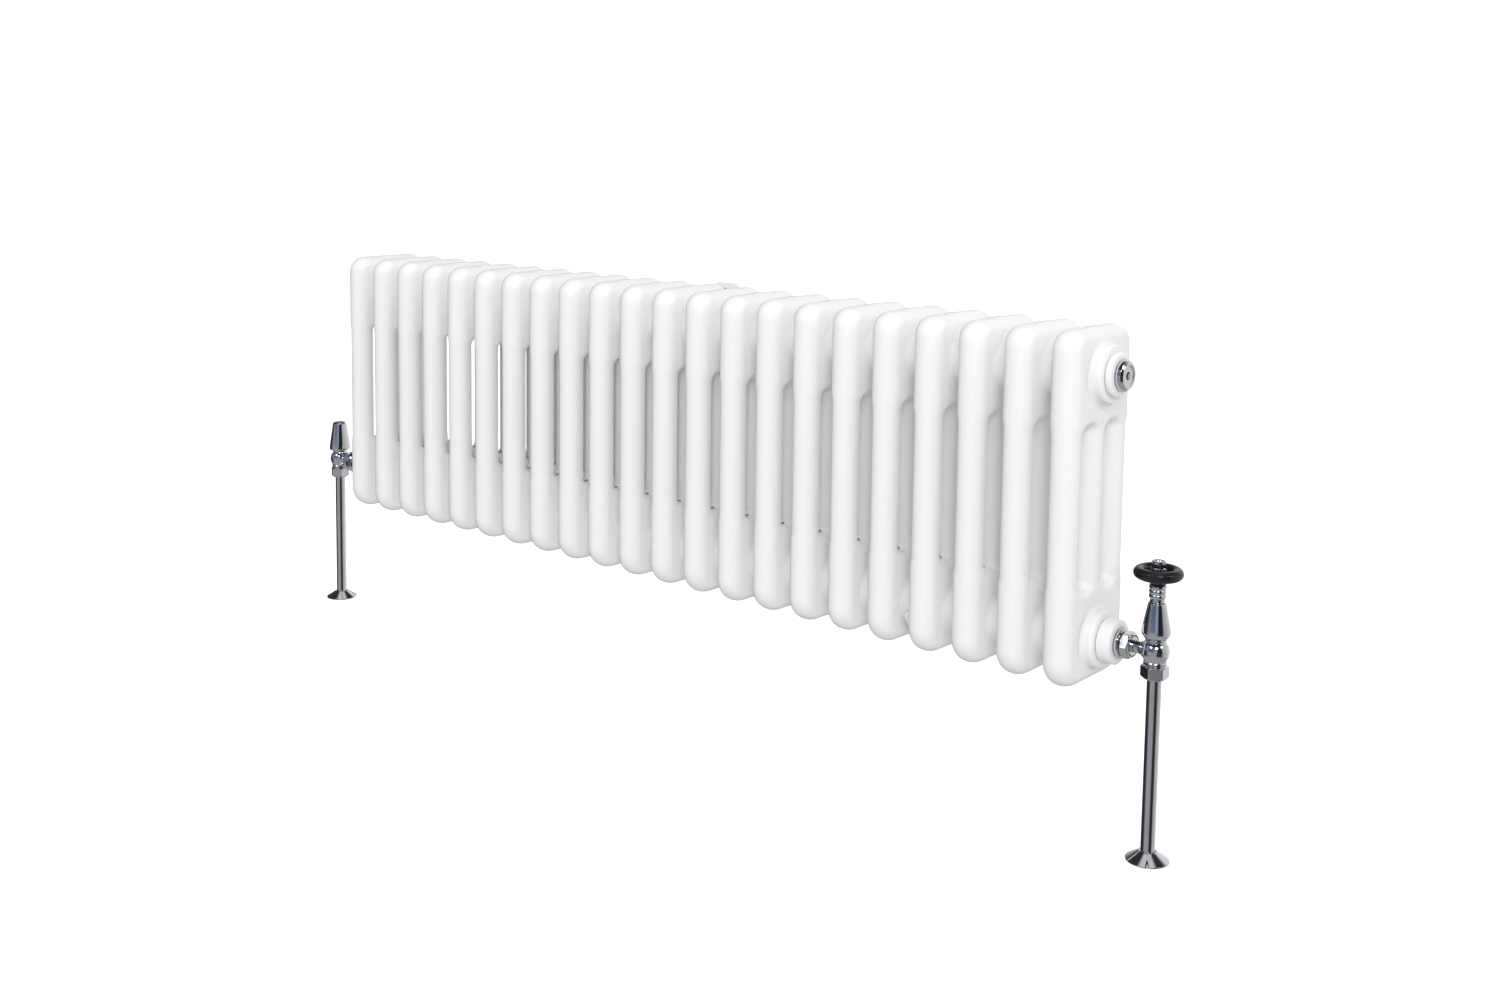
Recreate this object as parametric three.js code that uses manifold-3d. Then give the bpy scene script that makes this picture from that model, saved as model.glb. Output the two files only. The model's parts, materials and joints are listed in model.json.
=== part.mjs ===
// Horizontal three-column radiator on wall brackets, with a wheel-head valve at its right end and a
// lockshield valve at its left end, each on a floor pipe with a sliding cover rose.
//
// Frame, in millimetres: the wall is the plane y = 0 and the radiator stands in front of it at negative y.
// x runs along the radiator, towards the wheel-head valve. z is up, and z = 0 is the upper row of hubs.
// The origin is the centre line of the radiator, on the back of the upper wall bracket.
import * as THREE from "three";
import { mergeVertices } from "three/addons/utils/BufferGeometryUtils.js";
import Module from "manifold-3d";

// Sections
const SECTIONS = 22;
const PITCH = 45; // from one section to the next
const HEIGHT = 300; // of a section
const HUB_INSET = 38; // hub axis from the top, or from the bottom, of a section
const HUB_SPAN = HEIGHT - 2 * HUB_INSET;
const TUBE_RADIUS = 12.5;
const TUBE_SPACING = 37.5;
const HEAD_DEPTH = 101;
const HEAD_WIDTH = 27;
const HEAD_HEIGHT = 82;
const TOP_CORNER = 18;
const BOTTOM_CORNER = 24;
const SLOT_ARCH = 3; // rise of the slots' ends
const SECTION_EDGE = 8.5; // rounding of the pressed edges
const SECTION_WALL = 1.2;
const HUB_BASE = 28;
const HUB_FACE = 23;
const HUB_BORE = 16;

// Places
const GAP = 0.3; // between pieces that touch
const SIDES = 10; // of a round piece
const WALL_CLEARANCE = 32; // from the back of the sections to the wall
const CENTRE_Y = -(WALL_CLEARANCE + HEAD_DEPTH / 2);
const HUB_END = (SECTIONS * PITCH) / 2; // outer face of the last hub
const FLOOR = HUB_INSET - HEIGHT - 140; // the floor is 140 below the sections
const LOWER_HUBS = -HUB_SPAN;

// End fittings
const BUSH_RADIUS = 19;
const BUSH_LENGTH = 6; // of an upper bush's flange
const VALVE_BUSH_LENGTH = 13; // of a lower bush's flange
const BUSH_BORE = 10.8;
const SHANK_RADIUS = 10; // of what screws into a bush
const SHANK_LENGTH = 14;
const PLUG_RADIUS = 12.8;
const PLUG_LENGTH = 6.4;
const BLEED_RADIUS = 2.6;
const EXTENSION_LENGTH = 32; // spacer on the lockshield side
const EXTENSION_RADIUS = 13.2;

// Valves, with heights counted from the valve's own centre
const VALVE_REACH = 45; // from the end hub's face to the valve's axis
const BALL_RADIUS = 11.6;
const SHOULDER = 8; // where the ball meets its neck
const COVER_BOTTOM = 11.4; // of the bonnet, and of the lockshield's cap
const SHOULDER_RADIUS = 8.4;
const FOOT_RADIUS = 9.6;
const FOOT_TOP = -5;
const ARM_RADIUS = 5.3;
const THREAD_RADIUS = 8.2; // of the ends that the nuts screw on to
const THREAD_LENGTH = 3.6; // inside the union nut
const WATERWAY = 4;
const NECK_RADIUS = 7;
const SEAT = -4.3;
const SEAT_BORE = 3.8;
const CHAMBER = 5.7;
const DISC_LIFT = 3; // of the valve disc above its seat
const DISC_THICKNESS = 2.6;
const INLET_END = -19;
const TAIL_COLLAR = 4;
const TAIL_COLLAR_RADIUS = 12.4;
const TAIL_NECK = 6.6;
const TAIL_STEP = 2.4; // of the neck, up to the flange
const TAIL_FLANGE = 2;
const UNION_LENGTH = 8.4;
const UNION_FLATS = 21;
const NUT_TOP = -10.5;
const NUT_BOTTOM = -23.2;
const NUT_FLATS = 20.4;
const PIPE_RADIUS = 6;
const PIPE_BORE = 5;
const ROSE_RADIUS = 18.2;
const ROSE_HEIGHT = 8;

// Wheel head
const WHEEL_NECK = 24; // top of the body's neck
const BONNET_TOP = 41.3;
const BONNET_RADIUS = 12.1;
const COLLAR_TOP = 56.2;
const COLLAR_RADIUS = 7.1;
const COLLAR_NECK = 3.4; // plain part, under the rings
const COLLAR_NECK_RADIUS = 6;
const RIM_HEIGHT = 65.6;
const RIM_RADIUS = 15.5;
const RIM_THICKNESS = 4.8;
const BOSS_TOP = 68.6;
const PIN_RADIUS = 1.7;
const CAP_NUT_TOP = 75.8;
const CAP_NUT_RADIUS = 5.9;

// Lockshield head
const LOCK_NECK = 16;
const GLAND_TOP = 20.5;
const SHIELD_TOP = 46;
const SHIELD_RADIUS = 12.6;
const SPINDLE_HEAD = 21; // underside of the spindle's slotted head
const SPINDLE_TOP = 33.5;
const SPINDLE_RADIUS = 5.6;

// Wall brackets
const BRACKET_PITCHES = 7; // pitches from the centre line to each lower bracket
const PLATE_WIDTH = 32;
const PLATE_TOP = 34;
const PLATE_BOTTOM = -50;
const PLATE_THICKNESS = 4;
const ARM_WIDTH = 8;
const CRADLE_RADIUS = 25.8;
const CRADLE_THICKNESS = 6;
const SCREW_HEIGHTS = [24, -42];
const SCREW_RADIUS = 2.5;

const wasm = await Module();
wasm.setup();

// Finishes
const ENAMEL = { color: 0xf6f6f4, roughness: 0.22, metalness: 0 };
const CHROME = { color: 0xd9dbde, roughness: 0.07, metalness: 1 };
const BLACK = { color: 0x0b0b0c, roughness: 0.2, metalness: 0 };
const BRASS = { color: 0xb8975a, roughness: 0.35, metalness: 1 };
const ZINC = { color: 0xa9acb0, roughness: 0.35, metalness: 1 };

// A closed geometry as a solid that can be joined and cut. Triangles that vanish on an axis are left out.
function solid(geometry) {
  const bare = geometry.index ? geometry.toNonIndexed() : geometry.clone();
  bare.deleteAttribute("normal");
  bare.deleteAttribute("uv");
  const merged = mergeVertices(bare, 1e-4);
  const corners = merged.index.array;
  const kept = [];
  for (let i = 0; i < corners.length; i += 3) {
    const [a, b, c] = corners.subarray(i, i + 3);
    if (a !== b && b !== c && c !== a) kept.push(a, b, c);
  }
  const vertProperties = merged.attributes.position.array;
  return new wasm.Manifold(
    new wasm.Mesh({ numProp: 3, vertProperties, triVerts: new Uint32Array(kept) }),
  );
}

function geometryOf(made) {
  const mesh = made.getMesh();
  const geometry = new THREE.BufferGeometry();
  geometry.setAttribute("position", new THREE.BufferAttribute(mesh.vertProperties, 3));
  geometry.setIndex(new THREE.BufferAttribute(mesh.triVerts, 1));
  geometry.computeVertexNormals();
  return geometry;
}

const joined = (first, ...others) => others.reduce((sum, one) => sum.add(one), first);
const cut = (first, ...others) => others.reduce((rest, one) => rest.subtract(one), first);

// A turned solid about the z axis. The profile lists [radius, height] from bottom to top, outside first.
function turned(profile, sides = SIDES, turn = 0) {
  const points = profile.map(([radius, height]) => new THREE.Vector2(radius, height));
  if (profile[0][0] > 0 || profile.at(-1)[0] > 0) points.push(points[0].clone());
  const geometry = new THREE.LatheGeometry(points, sides);
  geometry.rotateX(Math.PI / 2);
  geometry.rotateZ(turn);
  return solid(geometry);
}

const rod = (radius, low, high, sides = SIDES, turn = 0) =>
  turned([[0, low], [radius, low], [radius, high], [0, high]], sides, turn);

// The same solid lying along x: what was up now points to +x.
const lying = (made) => made.rotate([0, 90, 0]);

// A hexagon bar with chamfered ends, by its width across the flats.
function hexagon(flats, low, high) {
  const corner = flats / Math.sqrt(3);
  const chamfer = corner - flats / 2;
  const profile = [
    [0, low],
    [flats / 2, low],
    [corner, low + chamfer],
    [corner, high - chamfer],
    [flats / 2, high],
    [0, high],
  ];
  return turned(profile, 6, Math.PI / 6);
}

// An outline in the y-z plane, given as a THREE.Shape, made a slab along x with optional rounded edges.
function slab(outline, width, edge = 0, curveSegments = 2) {
  const geometry = new THREE.ExtrudeGeometry(outline, {
    depth: width - 2 * edge,
    bevelEnabled: edge > 0,
    bevelThickness: edge,
    bevelSize: edge,
    bevelOffset: -edge,
    bevelSegments: 1,
    curveSegments,
  });
  geometry.translate(0, 0, edge - width / 2);
  const toPlane = new THREE.Matrix4().makeBasis(
    new THREE.Vector3(0, 1, 0),
    new THREE.Vector3(0, 0, 1),
    new THREE.Vector3(1, 0, 0),
  );
  return solid(geometry.applyMatrix4(toPlane));
}

// A section from the side, set in by some wall: round corners, and two slots between the columns.
function sectionOutline(inset, cornerSteps) {
  const side = HEAD_DEPTH / 2 - inset;
  const top = HUB_INSET - inset;
  const bottom = HUB_INSET - HEIGHT + inset;
  const upper = TOP_CORNER - inset;
  const lower = BOTTOM_CORNER - inset;
  const points = [];
  const corners = [
    [side - upper, top - upper, upper, 0],
    [upper - side, top - upper, upper, 1],
    [lower - side, bottom + lower, lower, 2],
    [side - lower, bottom + lower, lower, 3],
  ];
  for (const [y, z, corner, quarter] of corners) {
    for (let i = 0; i <= cornerSteps; i++) {
      const angle = (quarter + i / cornerSteps) * (Math.PI / 2);
      points.push(new THREE.Vector2(y + corner * Math.cos(angle), z + corner * Math.sin(angle)));
    }
  }
  const outline = new THREE.Shape(points);
  const slotHalf = TUBE_SPACING / 2 - TUBE_RADIUS + inset;
  const slotTop = HUB_INSET - HEAD_HEIGHT + inset;
  const slotBottom = LOWER_HUBS - slotTop;
  for (const place of [-1, 1]) {
    const middle = (place * TUBE_SPACING) / 2;
    const slot = [
      [-1, slotBottom],
      [-1, slotTop],
      [0, slotTop + SLOT_ARCH],
      [1, slotTop],
      [1, slotBottom],
      [0, slotBottom - SLOT_ARCH],
    ];
    const edge = slot.map(([across, z]) => new THREE.Vector2(middle + across * slotHalf, z));
    outline.holes.push(new THREE.Path(edge));
  }
  return outline;
}

// One hollow section: two pressed heads joined by three columns, with a hub on each side of each head.
function sectionSolid() {
  const half = (PITCH - GAP) / 2;
  const sides = 8;
  const turn = Math.PI / sides;
  const hubProfile = [
    [0, 0],
    [HUB_BASE, 0],
    [HUB_BASE, HEAD_WIDTH / 2 - 2],
    [HUB_FACE, half],
    [0, half],
  ];
  const hub = lying(turned(hubProfile, sides, turn));
  const hubs = [0, 180].map((way) => hub.rotate([0, 0, way]));
  const bore = lying(rod(HUB_BORE, -half - 1, half + 1, sides, turn));
  const lower = (made) => made.translate([0, 0, LOWER_HUBS]);

  const shell = slab(sectionOutline(0, 2), HEAD_WIDTH, SECTION_EDGE);
  const roomWidth = HEAD_WIDTH - 2 * SECTION_WALL;
  const room = slab(sectionOutline(SECTION_WALL, 1), roomWidth, SECTION_EDGE - SECTION_WALL / 2);
  const outside = joined(shell, ...hubs, ...hubs.map(lower));
  return cut(outside, joined(room, bore, lower(bore)));
}

// Reducing bush in an end hub. x = 0 is the hub's face, with the bush's flange outside it.
function bushSolid(length) {
  const shank = HUB_BORE - 2;
  const profile = [
    [0, -SHANK_LENGTH],
    [shank, -SHANK_LENGTH],
    [shank, GAP],
    [BUSH_RADIUS, GAP],
    [BUSH_RADIUS, length - 1],
    [BUSH_RADIUS - 1, length],
    [0, length],
  ];
  const bore = rod(BUSH_BORE, -SHANK_LENGTH - 1, length + 1);
  return lying(turned(profile, 12).subtract(bore));
}

// Plug with a domed flange, and a recess in the middle of its face.
function plugSolid(recess) {
  const low = BUSH_LENGTH + GAP;
  const high = low + PLUG_LENGTH;
  const profile = [
    [0, low - SHANK_LENGTH],
    [SHANK_RADIUS, low - SHANK_LENGTH],
    [SHANK_RADIUS, low],
    [PLUG_RADIUS, low],
    [PLUG_RADIUS, high - 2.4],
    [PLUG_RADIUS - 2.4, high],
    [0, high],
  ];
  return lying(turned(profile, 12).subtract(recess(low, high)));
}

const bleedRecess = (low, high) => rod(BLEED_RADIUS + 0.6, low - SHANK_LENGTH - 1, high + 1, 8);
const keyRecess = (low, high) => hexagon(8, high - 5, high + 3);

// Bleed screw: a round stem with a square end for the key.
function bleedSolid() {
  const high = BUSH_LENGTH + GAP + PLUG_LENGTH;
  const stem = rod(BLEED_RADIUS, high - 14, high - 3, 8);
  return lying(stem.add(rod(BLEED_RADIUS, high - 4, high + 1, 4)));
}

// Valve tail. x = 0 is the face that it is screwed into. The union nut holds its flange.
function tailSolid() {
  const flange = TAIL_COLLAR + GAP + TAIL_STEP;
  const end = flange + TAIL_FLANGE;
  const outside = turned([
    [0, -SHANK_LENGTH],
    [SHANK_RADIUS, -SHANK_LENGTH],
    [SHANK_RADIUS, GAP],
    [TAIL_COLLAR_RADIUS, GAP],
    [TAIL_COLLAR_RADIUS, TAIL_COLLAR],
    [TAIL_NECK, TAIL_COLLAR],
    [TAIL_NECK, flange],
    [THREAD_RADIUS, flange + 0.6],
    [THREAD_RADIUS, end],
    [0, end],
  ]);
  return lying(outside.subtract(rod(WATERWAY, -SHANK_LENGTH - 1, end + 1)));
}

function unionNutSolid() {
  const low = TAIL_COLLAR + GAP;
  const outside = hexagon(UNION_FLATS, low, low + UNION_LENGTH);
  const room = rod(THREAD_RADIUS + 0.6, low + TAIL_STEP - GAP, low + UNION_LENGTH + 1);
  return lying(cut(outside, rod(TAIL_NECK + 0.4, low - 1, low + UNION_LENGTH), room));
}

function extensionSolid() {
  const outside = turned([
    [0, -SHANK_LENGTH],
    [SHANK_RADIUS, -SHANK_LENGTH],
    [SHANK_RADIUS, GAP],
    [EXTENSION_RADIUS, GAP],
    [EXTENSION_RADIUS, EXTENSION_LENGTH],
    [0, EXTENSION_LENGTH],
  ]);
  const socket = rod(BUSH_BORE, EXTENSION_LENGTH - SHANK_LENGTH - 2, EXTENSION_LENGTH + 1);
  return lying(cut(outside, socket, rod(WATERWAY, -SHANK_LENGTH - 1, EXTENSION_LENGTH)));
}

// Angle valve body: a ball with an arm towards the radiator at -x, an inlet below and a neck above.
function valveBodySolid(neckTop) {
  const tailEnd = TAIL_COLLAR + GAP + TAIL_STEP + TAIL_FLANGE;
  const armEnd = VALVE_BUSH_LENGTH + tailEnd + GAP - VALVE_REACH;
  const ballProfile = [[0, -BALL_RADIUS]];
  const steps = 5;
  for (let i = 1; i < steps; i++) {
    const height = -BALL_RADIUS + ((BALL_RADIUS + SHOULDER) * i) / steps;
    ballProfile.push([Math.sqrt(BALL_RADIUS ** 2 - height ** 2), height]);
  }
  ballProfile.push([Math.sqrt(BALL_RADIUS ** 2 - SHOULDER ** 2), SHOULDER], [0, SHOULDER]);
  const outside = joined(
    turned(ballProfile, 12),
    rod(THREAD_RADIUS, INLET_END, 0),
    rod(FOOT_RADIUS, NUT_TOP + GAP, FOOT_TOP, 12),
    rod(SHOULDER_RADIUS, 0, COVER_BOTTOM - GAP, 12),
    rod(NECK_RADIUS, 0, neckTop),
    lying(rod(THREAD_RADIUS, armEnd, armEnd + THREAD_LENGTH)),
    lying(rod(ARM_RADIUS, armEnd, 0)),
  );
  return cut(
    outside,
    lying(rod(WATERWAY, armEnd - 1, 0)),
    rod(PIPE_RADIUS + 0.4, INLET_END - 1, -11),
    rod(SEAT_BORE, -12, SEAT + 1),
    rod(CHAMBER, SEAT, neckTop + 1),
  );
}

function pipeNutSolid() {
  const outside = hexagon(NUT_FLATS, NUT_BOTTOM, NUT_TOP);
  const thread = rod(THREAD_RADIUS + 0.6, INLET_END - GAP, NUT_TOP + 1);
  return cut(outside, rod(PIPE_RADIUS + 0.5, NUT_BOTTOM - 1, NUT_TOP), thread);
}

// Turned bonnet that tapers to the collar. It closes the body's neck and guides the pin.
function bonnetSolid(neckTop) {
  const profile = [
    [0, COVER_BOTTOM],
    [BONNET_RADIUS - 2.9, COVER_BOTTOM],
    [BONNET_RADIUS - 0.8, COVER_BOTTOM + 2.8],
    [BONNET_RADIUS, COVER_BOTTOM + 8],
    [BONNET_RADIUS - 0.9, COVER_BOTTOM + 15.6],
    [7.4, BONNET_TOP - 1],
    [6.6, BONNET_TOP],
    [0, BONNET_TOP],
  ];
  const neckRoom = rod(NECK_RADIUS + 0.5, COVER_BOTTOM - 1, neckTop + GAP);
  const pinRoom = rod(PIN_RADIUS + 0.5, COVER_BOTTOM, BONNET_TOP + 1, 6);
  return cut(turned(profile, 12), neckRoom, pinRoom);
}

function collarSolid() {
  const low = BONNET_TOP + GAP;
  const firstRing = low + COLLAR_NECK;
  const ring = (COLLAR_TOP - firstRing) / 3;
  const groove = 0.9;
  const outside = [
    [0, low],
    [COLLAR_NECK_RADIUS, low],
    [COLLAR_NECK_RADIUS, firstRing],
  ];
  for (let i = 0; i < 3; i++) {
    outside.push([COLLAR_RADIUS, firstRing + (i + 0.5) * ring]);
    outside.push([COLLAR_RADIUS - groove, firstRing + (i + 1) * ring]);
  }
  outside.push([0, COLLAR_TOP]);
  return turned(outside).subtract(rod(PIN_RADIUS + 0.5, low - 1, COLLAR_TOP + 1, 6));
}

// Pin and valve disc of the wheel head, made as one, with its lower face above the seat.
function pinSolid() {
  const disc = SEAT + GAP + DISC_LIFT;
  const profile = [
    [0, disc],
    [CHAMBER - 0.6, disc],
    [CHAMBER - 0.6, disc + DISC_THICKNESS],
    [PIN_RADIUS, disc + DISC_THICKNESS],
    [PIN_RADIUS, COLLAR_TOP - 2],
    [0, COLLAR_TOP - 2],
  ];
  return turned(profile, 8);
}

function handwheelSolid() {
  const low = COLLAR_TOP + GAP;
  const rim = [];
  for (let i = 0; i < 8; i++) {
    const angle = (2 * Math.PI * (i + 0.5)) / 8;
    const across = RIM_THICKNESS * Math.cos(angle);
    rim.push([RIM_RADIUS - across, RIM_HEIGHT - RIM_THICKNESS * Math.sin(angle)]);
  }
  const ring = turned(rim, 16);
  const dish = [
    [0, low],
    [COLLAR_RADIUS, low],
    [RIM_RADIUS - 2.5, RIM_HEIGHT - RIM_THICKNESS],
    [RIM_RADIUS, RIM_HEIGHT - 3],
    [RIM_RADIUS, RIM_HEIGHT + 1],
    [0, RIM_HEIGHT + 1],
  ];
  const boss = rod(6.4, low, BOSS_TOP);
  return joined(ring, turned(dish, 16), boss).subtract(rod(2.6, low + 4, BOSS_TOP + 1, 8));
}

function capNutSolid() {
  const low = BOSS_TOP + GAP;
  const profile = [
    [0, low],
    [CAP_NUT_RADIUS, low],
    [CAP_NUT_RADIUS, CAP_NUT_TOP - 1.4],
    [CAP_NUT_RADIUS - 1.4, CAP_NUT_TOP],
    [0, CAP_NUT_TOP],
  ];
  const head = turned(profile, 8);
  return head.add(rod(2.2, low - 6, low + 1, 8));
}

// Gland of the lockshield: screwed into the body's neck round the spindle.
function glandSolid(neckTop) {
  const shank = rod(CHAMBER - 0.5, neckTop - 6, neckTop + 1);
  const head = hexagon(13, neckTop + GAP, GLAND_TOP);
  return shank.add(head).subtract(rod(2.5, 0, GLAND_TOP + 1));
}

function spindleSolid() {
  const stem = rod(2, SEAT + 1, SPINDLE_HEAD + 1);
  const head = rod(SPINDLE_RADIUS, SPINDLE_HEAD, SPINDLE_TOP);
  const slot = solid(new THREE.BoxGeometry(14, 1.8, 6)).translate([0, 0, SPINDLE_TOP]);
  return cut(stem.add(head), slot);
}

// Valve disc that runs down the lockshield's spindle.
function lockDiscSolid() {
  const disc = SEAT + GAP + DISC_LIFT;
  const outside = rod(CHAMBER - 0.6, disc, disc + DISC_THICKNESS);
  return outside.subtract(rod(2.5, disc - 1, disc + DISC_THICKNESS + 1));
}

// Turned cap that hides the lockshield's spindle and lifts off.
function shieldSolid() {
  const outside = [
    [0, COVER_BOTTOM],
    [SHIELD_RADIUS - 1, COVER_BOTTOM],
    [SHIELD_RADIUS, COVER_BOTTOM + 2.4],
    [8.3, SHIELD_TOP - 1.4],
    [7, SHIELD_TOP],
    [0, SHIELD_TOP],
  ];
  const room = [
    [0, COVER_BOTTOM - 1],
    [SHIELD_RADIUS - 2, COVER_BOTTOM - 1],
    [SHIELD_RADIUS - 2.2, COVER_BOTTOM + 8],
    [6.6, SHIELD_TOP - 4],
    [0, SHIELD_TOP - 4],
  ];
  return turned(outside, 12).subtract(turned(room, 12));
}

function pipeSolid() {
  const top = -12;
  const bottom = FLOOR - LOWER_HUBS;
  return rod(PIPE_RADIUS, bottom, top, 12).subtract(rod(PIPE_BORE, bottom - 1, top + 1, 12));
}

// Cover rose on the floor round a pipe.
function roseSolid() {
  const bottom = FLOOR - LOWER_HUBS;
  const top = bottom + ROSE_HEIGHT;
  const profile = [
    [0, bottom],
    [ROSE_RADIUS, bottom],
    [ROSE_RADIUS, bottom + 1],
    [PIPE_RADIUS + 2.2, top],
    [0, top],
  ];
  return turned(profile, 14).subtract(rod(PIPE_RADIUS + 0.6, bottom - 1, top + 1));
}

// Wall bracket: a plate on the wall, and an arm between two sections whose cradle carries a hub.
// Its origin is on the back of the plate, at the height of the hub.
function bracketSolid() {
  const outer = CRADLE_RADIUS + CRADLE_THICKNESS;
  const lip = THREE.MathUtils.degToRad(20); // below the hub's centre, on each side
  const backPlate = new THREE.Shape();
  backPlate.moveTo(-PLATE_THICKNESS, PLATE_BOTTOM);
  backPlate.lineTo(0, PLATE_BOTTOM);
  backPlate.lineTo(0, PLATE_TOP);
  backPlate.lineTo(-PLATE_THICKNESS, PLATE_TOP);
  const arm = new THREE.Shape();
  arm.moveTo(-PLATE_THICKNESS / 2, -8);
  arm.absarc(CENTRE_Y, 0, CRADLE_RADIUS, -lip, lip - Math.PI, true);
  arm.absarc(CENTRE_Y, 0, outer, lip - Math.PI, -1.1, false);
  arm.lineTo(-PLATE_THICKNESS / 2, -31);
  const screwHoles = SCREW_HEIGHTS.map((height) =>
    rod(SCREW_RADIUS + 0.5, -1, PLATE_THICKNESS + 1, 8).rotate([90, 0, 0]).translate([0, 0, height]),
  );
  return cut(slab(backPlate, PLATE_WIDTH).add(slab(arm, ARM_WIDTH, 0, 4)), ...screwHoles);
}

// Slotted pan-head screw in a bracket's plate. Its shank stops at the wall.
function screwSolid() {
  const profile = [
    [0, 0.2],
    [SCREW_RADIUS, 0.2],
    [SCREW_RADIUS, PLATE_THICKNESS + GAP],
    [5, PLATE_THICKNESS + GAP],
    [4.2, PLATE_THICKNESS + 3],
    [0, PLATE_THICKNESS + 3],
  ];
  const slot = solid(new THREE.BoxGeometry(12, 1.2, 3)).translate([0, 0, PLATE_THICKNESS + 3.4]);
  return turned(profile, 8).subtract(slot).rotate([90, 0, 0]);
}

const radiator = new THREE.Group();

function place(parent, name, geometry, finish, x = 0, y = 0, z = 0, turn = 0) {
  const mesh = new THREE.Mesh(geometry, new THREE.MeshStandardMaterial(finish));
  mesh.name = name;
  mesh.position.set(x, y, z);
  mesh.rotation.z = turn;
  parent.add(mesh);
}

function addSections(parent) {
  const geometry = geometryOf(sectionSolid());
  for (let i = 0; i < SECTIONS; i++) {
    const name = "section_" + String(i + 1).padStart(2, "0");
    place(parent, name, geometry, ENAMEL, (i - (SECTIONS - 1) / 2) * PITCH);
  }
}

function addEndFittings(parent) {
  const upperBush = geometryOf(bushSolid(BUSH_LENGTH));
  const lowerBush = geometryOf(bushSolid(VALVE_BUSH_LENGTH));
  place(parent, "bush_upper_right", upperBush, ENAMEL, HUB_END);
  place(parent, "bush_lower_right", lowerBush, ENAMEL, HUB_END, 0, LOWER_HUBS);
  place(parent, "bush_upper_left", upperBush, ENAMEL, -HUB_END, 0, 0, Math.PI);
  place(parent, "bush_lower_left", lowerBush, ENAMEL, -HUB_END, 0, LOWER_HUBS, Math.PI);
  place(parent, "air_vent_plug", geometryOf(plugSolid(bleedRecess)), CHROME, HUB_END);
  place(parent, "bleed_screw", geometryOf(bleedSolid()), BRASS, HUB_END);
  place(parent, "blank_plug", geometryOf(plugSolid(keyRecess)), CHROME, -HUB_END, 0, 0, Math.PI);
}

// A valve as a group at its own centre. Its arm points to -x, so the lockshield's group is turned round.
function addWheelHeadValve(parent) {
  const valve = new THREE.Group();
  valve.position.set(HUB_END + VALVE_REACH, 0, LOWER_HUBS);
  parent.add(valve);
  const tailFace = VALVE_BUSH_LENGTH - VALVE_REACH;
  place(valve, "wheel_valve_body", geometryOf(valveBodySolid(WHEEL_NECK)), CHROME);
  place(valve, "wheel_valve_tail", geometryOf(tailSolid()), CHROME, tailFace);
  place(valve, "wheel_valve_union_nut", geometryOf(unionNutSolid()), CHROME, tailFace);
  place(valve, "wheel_valve_pipe_nut", geometryOf(pipeNutSolid()), CHROME);
  place(valve, "wheel_valve_bonnet", geometryOf(bonnetSolid(WHEEL_NECK)), CHROME);
  place(valve, "wheel_valve_collar", geometryOf(collarSolid()), CHROME);
  place(valve, "wheel_valve_pin", geometryOf(pinSolid()), BRASS);
  place(valve, "handwheel", geometryOf(handwheelSolid()), BLACK);
  place(valve, "handwheel_nut", geometryOf(capNutSolid()), CHROME);
  place(valve, "pipe_right", geometryOf(pipeSolid()), CHROME);
  place(valve, "pipe_rose_right", geometryOf(roseSolid()), CHROME);
}

function addLockshieldValve(parent) {
  const valve = new THREE.Group();
  valve.position.set(-(HUB_END + VALVE_REACH + EXTENSION_LENGTH), 0, LOWER_HUBS);
  valve.rotation.z = Math.PI;
  parent.add(valve);
  const tailFace = VALVE_BUSH_LENGTH - VALVE_REACH;
  place(valve, "tail_extension", geometryOf(extensionSolid()), CHROME, tailFace - EXTENSION_LENGTH);
  place(valve, "lockshield_body", geometryOf(valveBodySolid(LOCK_NECK)), CHROME);
  place(valve, "lockshield_tail", geometryOf(tailSolid()), CHROME, tailFace);
  place(valve, "lockshield_union_nut", geometryOf(unionNutSolid()), CHROME, tailFace);
  place(valve, "lockshield_pipe_nut", geometryOf(pipeNutSolid()), CHROME);
  place(valve, "lockshield_gland", geometryOf(glandSolid(LOCK_NECK)), BRASS);
  place(valve, "lockshield_spindle", geometryOf(spindleSolid()), BRASS);
  place(valve, "lockshield_disc", geometryOf(lockDiscSolid()), BRASS);
  place(valve, "lockshield_cap", geometryOf(shieldSolid()), CHROME);
  place(valve, "pipe_left", geometryOf(pipeSolid()), CHROME);
  place(valve, "pipe_rose_left", geometryOf(roseSolid()), CHROME);
}

function addWallBrackets(parent) {
  const bracket = geometryOf(bracketSolid());
  const screw = geometryOf(screwSolid());
  const reach = BRACKET_PITCHES * PITCH;
  const places = [
    ["upper_centre", 0, 0],
    ["lower_left", -reach, LOWER_HUBS],
    ["lower_right", reach, LOWER_HUBS],
  ];
  for (const [where, x, z] of places) {
    place(parent, "bracket_" + where, bracket, ENAMEL, x, 0, z);
    place(parent, "screw_top_" + where, screw, ZINC, x, 0, z + SCREW_HEIGHTS[0]);
    place(parent, "screw_bottom_" + where, screw, ZINC, x, 0, z + SCREW_HEIGHTS[1]);
  }
}

const body = new THREE.Group(); // everything that lies on the radiator's own middle plane
body.position.y = CENTRE_Y;
radiator.add(body);
addSections(body);
addEndFittings(body);
addWheelHeadValve(body);
addLockshieldValve(body);
addWallBrackets(radiator);

export default radiator;
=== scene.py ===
import json
import math

import bpy
import numpy as np
from mathutils import Matrix, Vector
from mathutils.geometry import delaunay_2d_cdt


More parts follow.
